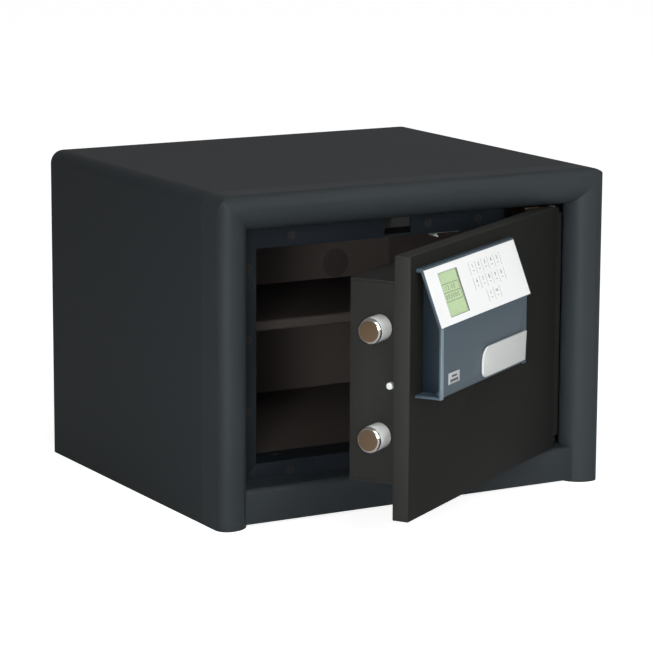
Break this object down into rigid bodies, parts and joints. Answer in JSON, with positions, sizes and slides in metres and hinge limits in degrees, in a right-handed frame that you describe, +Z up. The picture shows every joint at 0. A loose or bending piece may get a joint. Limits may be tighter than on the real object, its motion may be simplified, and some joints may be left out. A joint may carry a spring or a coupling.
{
  "type": "in-room safe",
  "caption": "Compact double-walled steel safe with a rolled front surround, an inset hinged door, locking bolts, an interior shelf and a keypad lock with a lever.",
  "frame": {"origin": "centre of the cabinet's footprint, on the surface it stands on", "axes": "+X to the right seen from the front, +Y from the front into the cabinet, +Z up; the open door lies towards -Y"},
  "size_m": [0.435, 0.5713, 0.32],
  "materials": {
    "shell_paint": "satin textured powder coat",
    "frame_paint": "satin powder coat",
    "door_paint": "fine hammered powder coat",
    "interior_paint": "matt powder coat",
    "filler": "rough light mineral filler",
    "case_paint": "fine hammered black powder coat",
    "zinc": "zinc plated",
    "bronze": "dull bronze plated steel",
    "bolt_chrome": "polished",
    "brass_bush": "machined",
    "dark_plastic": "matt",
    "housing_blue": "satin",
    "housing_dark": "satin",
    "panel_white": "satin printed foil",
    "lcd_glass": "clear",
    "lcd_green": "display",
    "lever_grey": "satin",
    "badge_silver": "satin",
    "circuit": "lacquered board",
    "cell": "printed sleeve"
  },
  "bodies": {
    "cabinet": {"outer_shell": "shell_paint", "front_surround": "shell_paint", "front_sill": "shell_paint", "base_pan": "shell_paint", "rear_panel": "shell_paint", "filler_slabs": "filler", "inner_liner": "interior_paint", "jamb_top": "frame_paint", "jamb_bottom": "frame_paint", "jamb_left": "frame_paint", "jamb_right": "frame_paint", "frame_screws": "case_paint", "shelf": "interior_paint", "shelf_supports": "interior_paint", "anchor_sleeves": "zinc", "anchor_caps": "dark_plastic", "hinge_brackets": "bronze", "header_clip": "zinc"},
    "door": {"door_skin": "door_paint", "door_core": "filler", "door_back_plate": "door_paint", "hinge_rail": "case_paint", "hinge_pins": "zinc", "case_cover": "case_paint", "case_caps": "case_paint", "case_screws": "case_paint", "bolt_bushes": "dark_plastic", "bolt_guide": "zinc", "shaft_bush": "brass_bush", "solenoid_body": "dark_plastic", "housing_base": "housing_dark", "housing_front": "housing_blue", "control_panel": "panel_white", "lcd_window": "lcd_glass", "lcd_module": "lcd_green", "key_board": "circuit", "battery_tray": "dark_plastic", "batteries": "cell", "badge": "badge_silver"},
    "bolts": {"lock_bolts": "bolt_chrome", "bolt_bar": "zinc"},
    "lever": {"lever": "lever_grey", "lever_shaft": "zinc", "crank": "zinc"},
    "plunger": {"solenoid_plunger": "zinc"},
    "catch": {"catch_pin": "zinc"},
    "key_1": {"key_1": "panel_white"},
    "key_2": {"key_2": "panel_white"},
    "key_3": {"key_3": "panel_white"},
    "key_4": {"key_4": "panel_white"},
    "key_5": {"key_5": "panel_white"},
    "key_6": {"key_6": "panel_white"},
    "key_7": {"key_7": "panel_white"},
    "key_8": {"key_8": "panel_white"},
    "key_9": {"key_9": "panel_white"},
    "key_0": {"key_0": "panel_white"},
    "key_clear": {"key_clear": "panel_white"},
    "key_enter": {"key_enter": "panel_white"}
  },
  "joints": [
    {"name": "door_hinge", "type": "hinge", "parent": "cabinet", "child": "door", "pos_m": [0.1695, -0.1647, 0.16], "axis": [0, 0, 1], "range_deg": [-32.9, 57]},
    {"name": "bolt_slide", "type": "slide", "parent": "door", "child": "bolts", "axis": [0.8396, 0.5432, 0], "range_m": [0, 0.0215]},
    {"name": "lever_turn", "type": "hinge", "parent": "door", "child": "lever", "pos_m": [0.03219, -0.26782, 0.171], "axis": [0.5432, -0.8396, 0], "range_deg": [0, 70]},
    {"name": "plunger_slide", "type": "slide", "parent": "door", "child": "plunger", "axis": [0, 0, 1], "range_m": [-0.005, 0]},
    {"name": "catch_push", "type": "slide", "parent": "door", "child": "catch", "axis": [0.8396, 0.5432, 0], "range_m": [0, 0.0045], "stiffness_N_per_m": 300},
    {"name": "key_1_press", "type": "slide", "parent": "door", "child": "key_1", "axis": [-0.5091, 0.7869, -0.3488], "range_m": [0, 0.0005], "stiffness_N_per_m": 400},
    {"name": "key_2_press", "type": "slide", "parent": "door", "child": "key_2", "axis": [-0.5091, 0.7869, -0.3488], "range_m": [0, 0.0005], "stiffness_N_per_m": 400},
    {"name": "key_3_press", "type": "slide", "parent": "door", "child": "key_3", "axis": [-0.5091, 0.7869, -0.3488], "range_m": [0, 0.0005], "stiffness_N_per_m": 400},
    {"name": "key_4_press", "type": "slide", "parent": "door", "child": "key_4", "axis": [-0.5091, 0.7869, -0.3488], "range_m": [0, 0.0005], "stiffness_N_per_m": 400},
    {"name": "key_5_press", "type": "slide", "parent": "door", "child": "key_5", "axis": [-0.5091, 0.7869, -0.3488], "range_m": [0, 0.0005], "stiffness_N_per_m": 400},
    {"name": "key_6_press", "type": "slide", "parent": "door", "child": "key_6", "axis": [-0.5091, 0.7869, -0.3488], "range_m": [0, 0.0005], "stiffness_N_per_m": 400},
    {"name": "key_7_press", "type": "slide", "parent": "door", "child": "key_7", "axis": [-0.5091, 0.7869, -0.3488], "range_m": [0, 0.0005], "stiffness_N_per_m": 400},
    {"name": "key_8_press", "type": "slide", "parent": "door", "child": "key_8", "axis": [-0.5091, 0.7869, -0.3488], "range_m": [0, 0.0005], "stiffness_N_per_m": 400},
    {"name": "key_9_press", "type": "slide", "parent": "door", "child": "key_9", "axis": [-0.5091, 0.7869, -0.3488], "range_m": [0, 0.0005], "stiffness_N_per_m": 400},
    {"name": "key_0_press", "type": "slide", "parent": "door", "child": "key_0", "axis": [-0.5091, 0.7869, -0.3488], "range_m": [0, 0.0005], "stiffness_N_per_m": 400},
    {"name": "key_clear_press", "type": "slide", "parent": "door", "child": "key_clear", "axis": [-0.5091, 0.7869, -0.3488], "range_m": [0, 0.0005], "stiffness_N_per_m": 400},
    {"name": "key_enter_press", "type": "slide", "parent": "door", "child": "key_enter", "axis": [-0.5091, 0.7869, -0.3488], "range_m": [0, 0.0005], "stiffness_N_per_m": 400}
  ],
  "couplings": [
    {"joint": "lever_turn", "follows": "bolt_slide", "rad_per_m": 56.824}
  ]
}
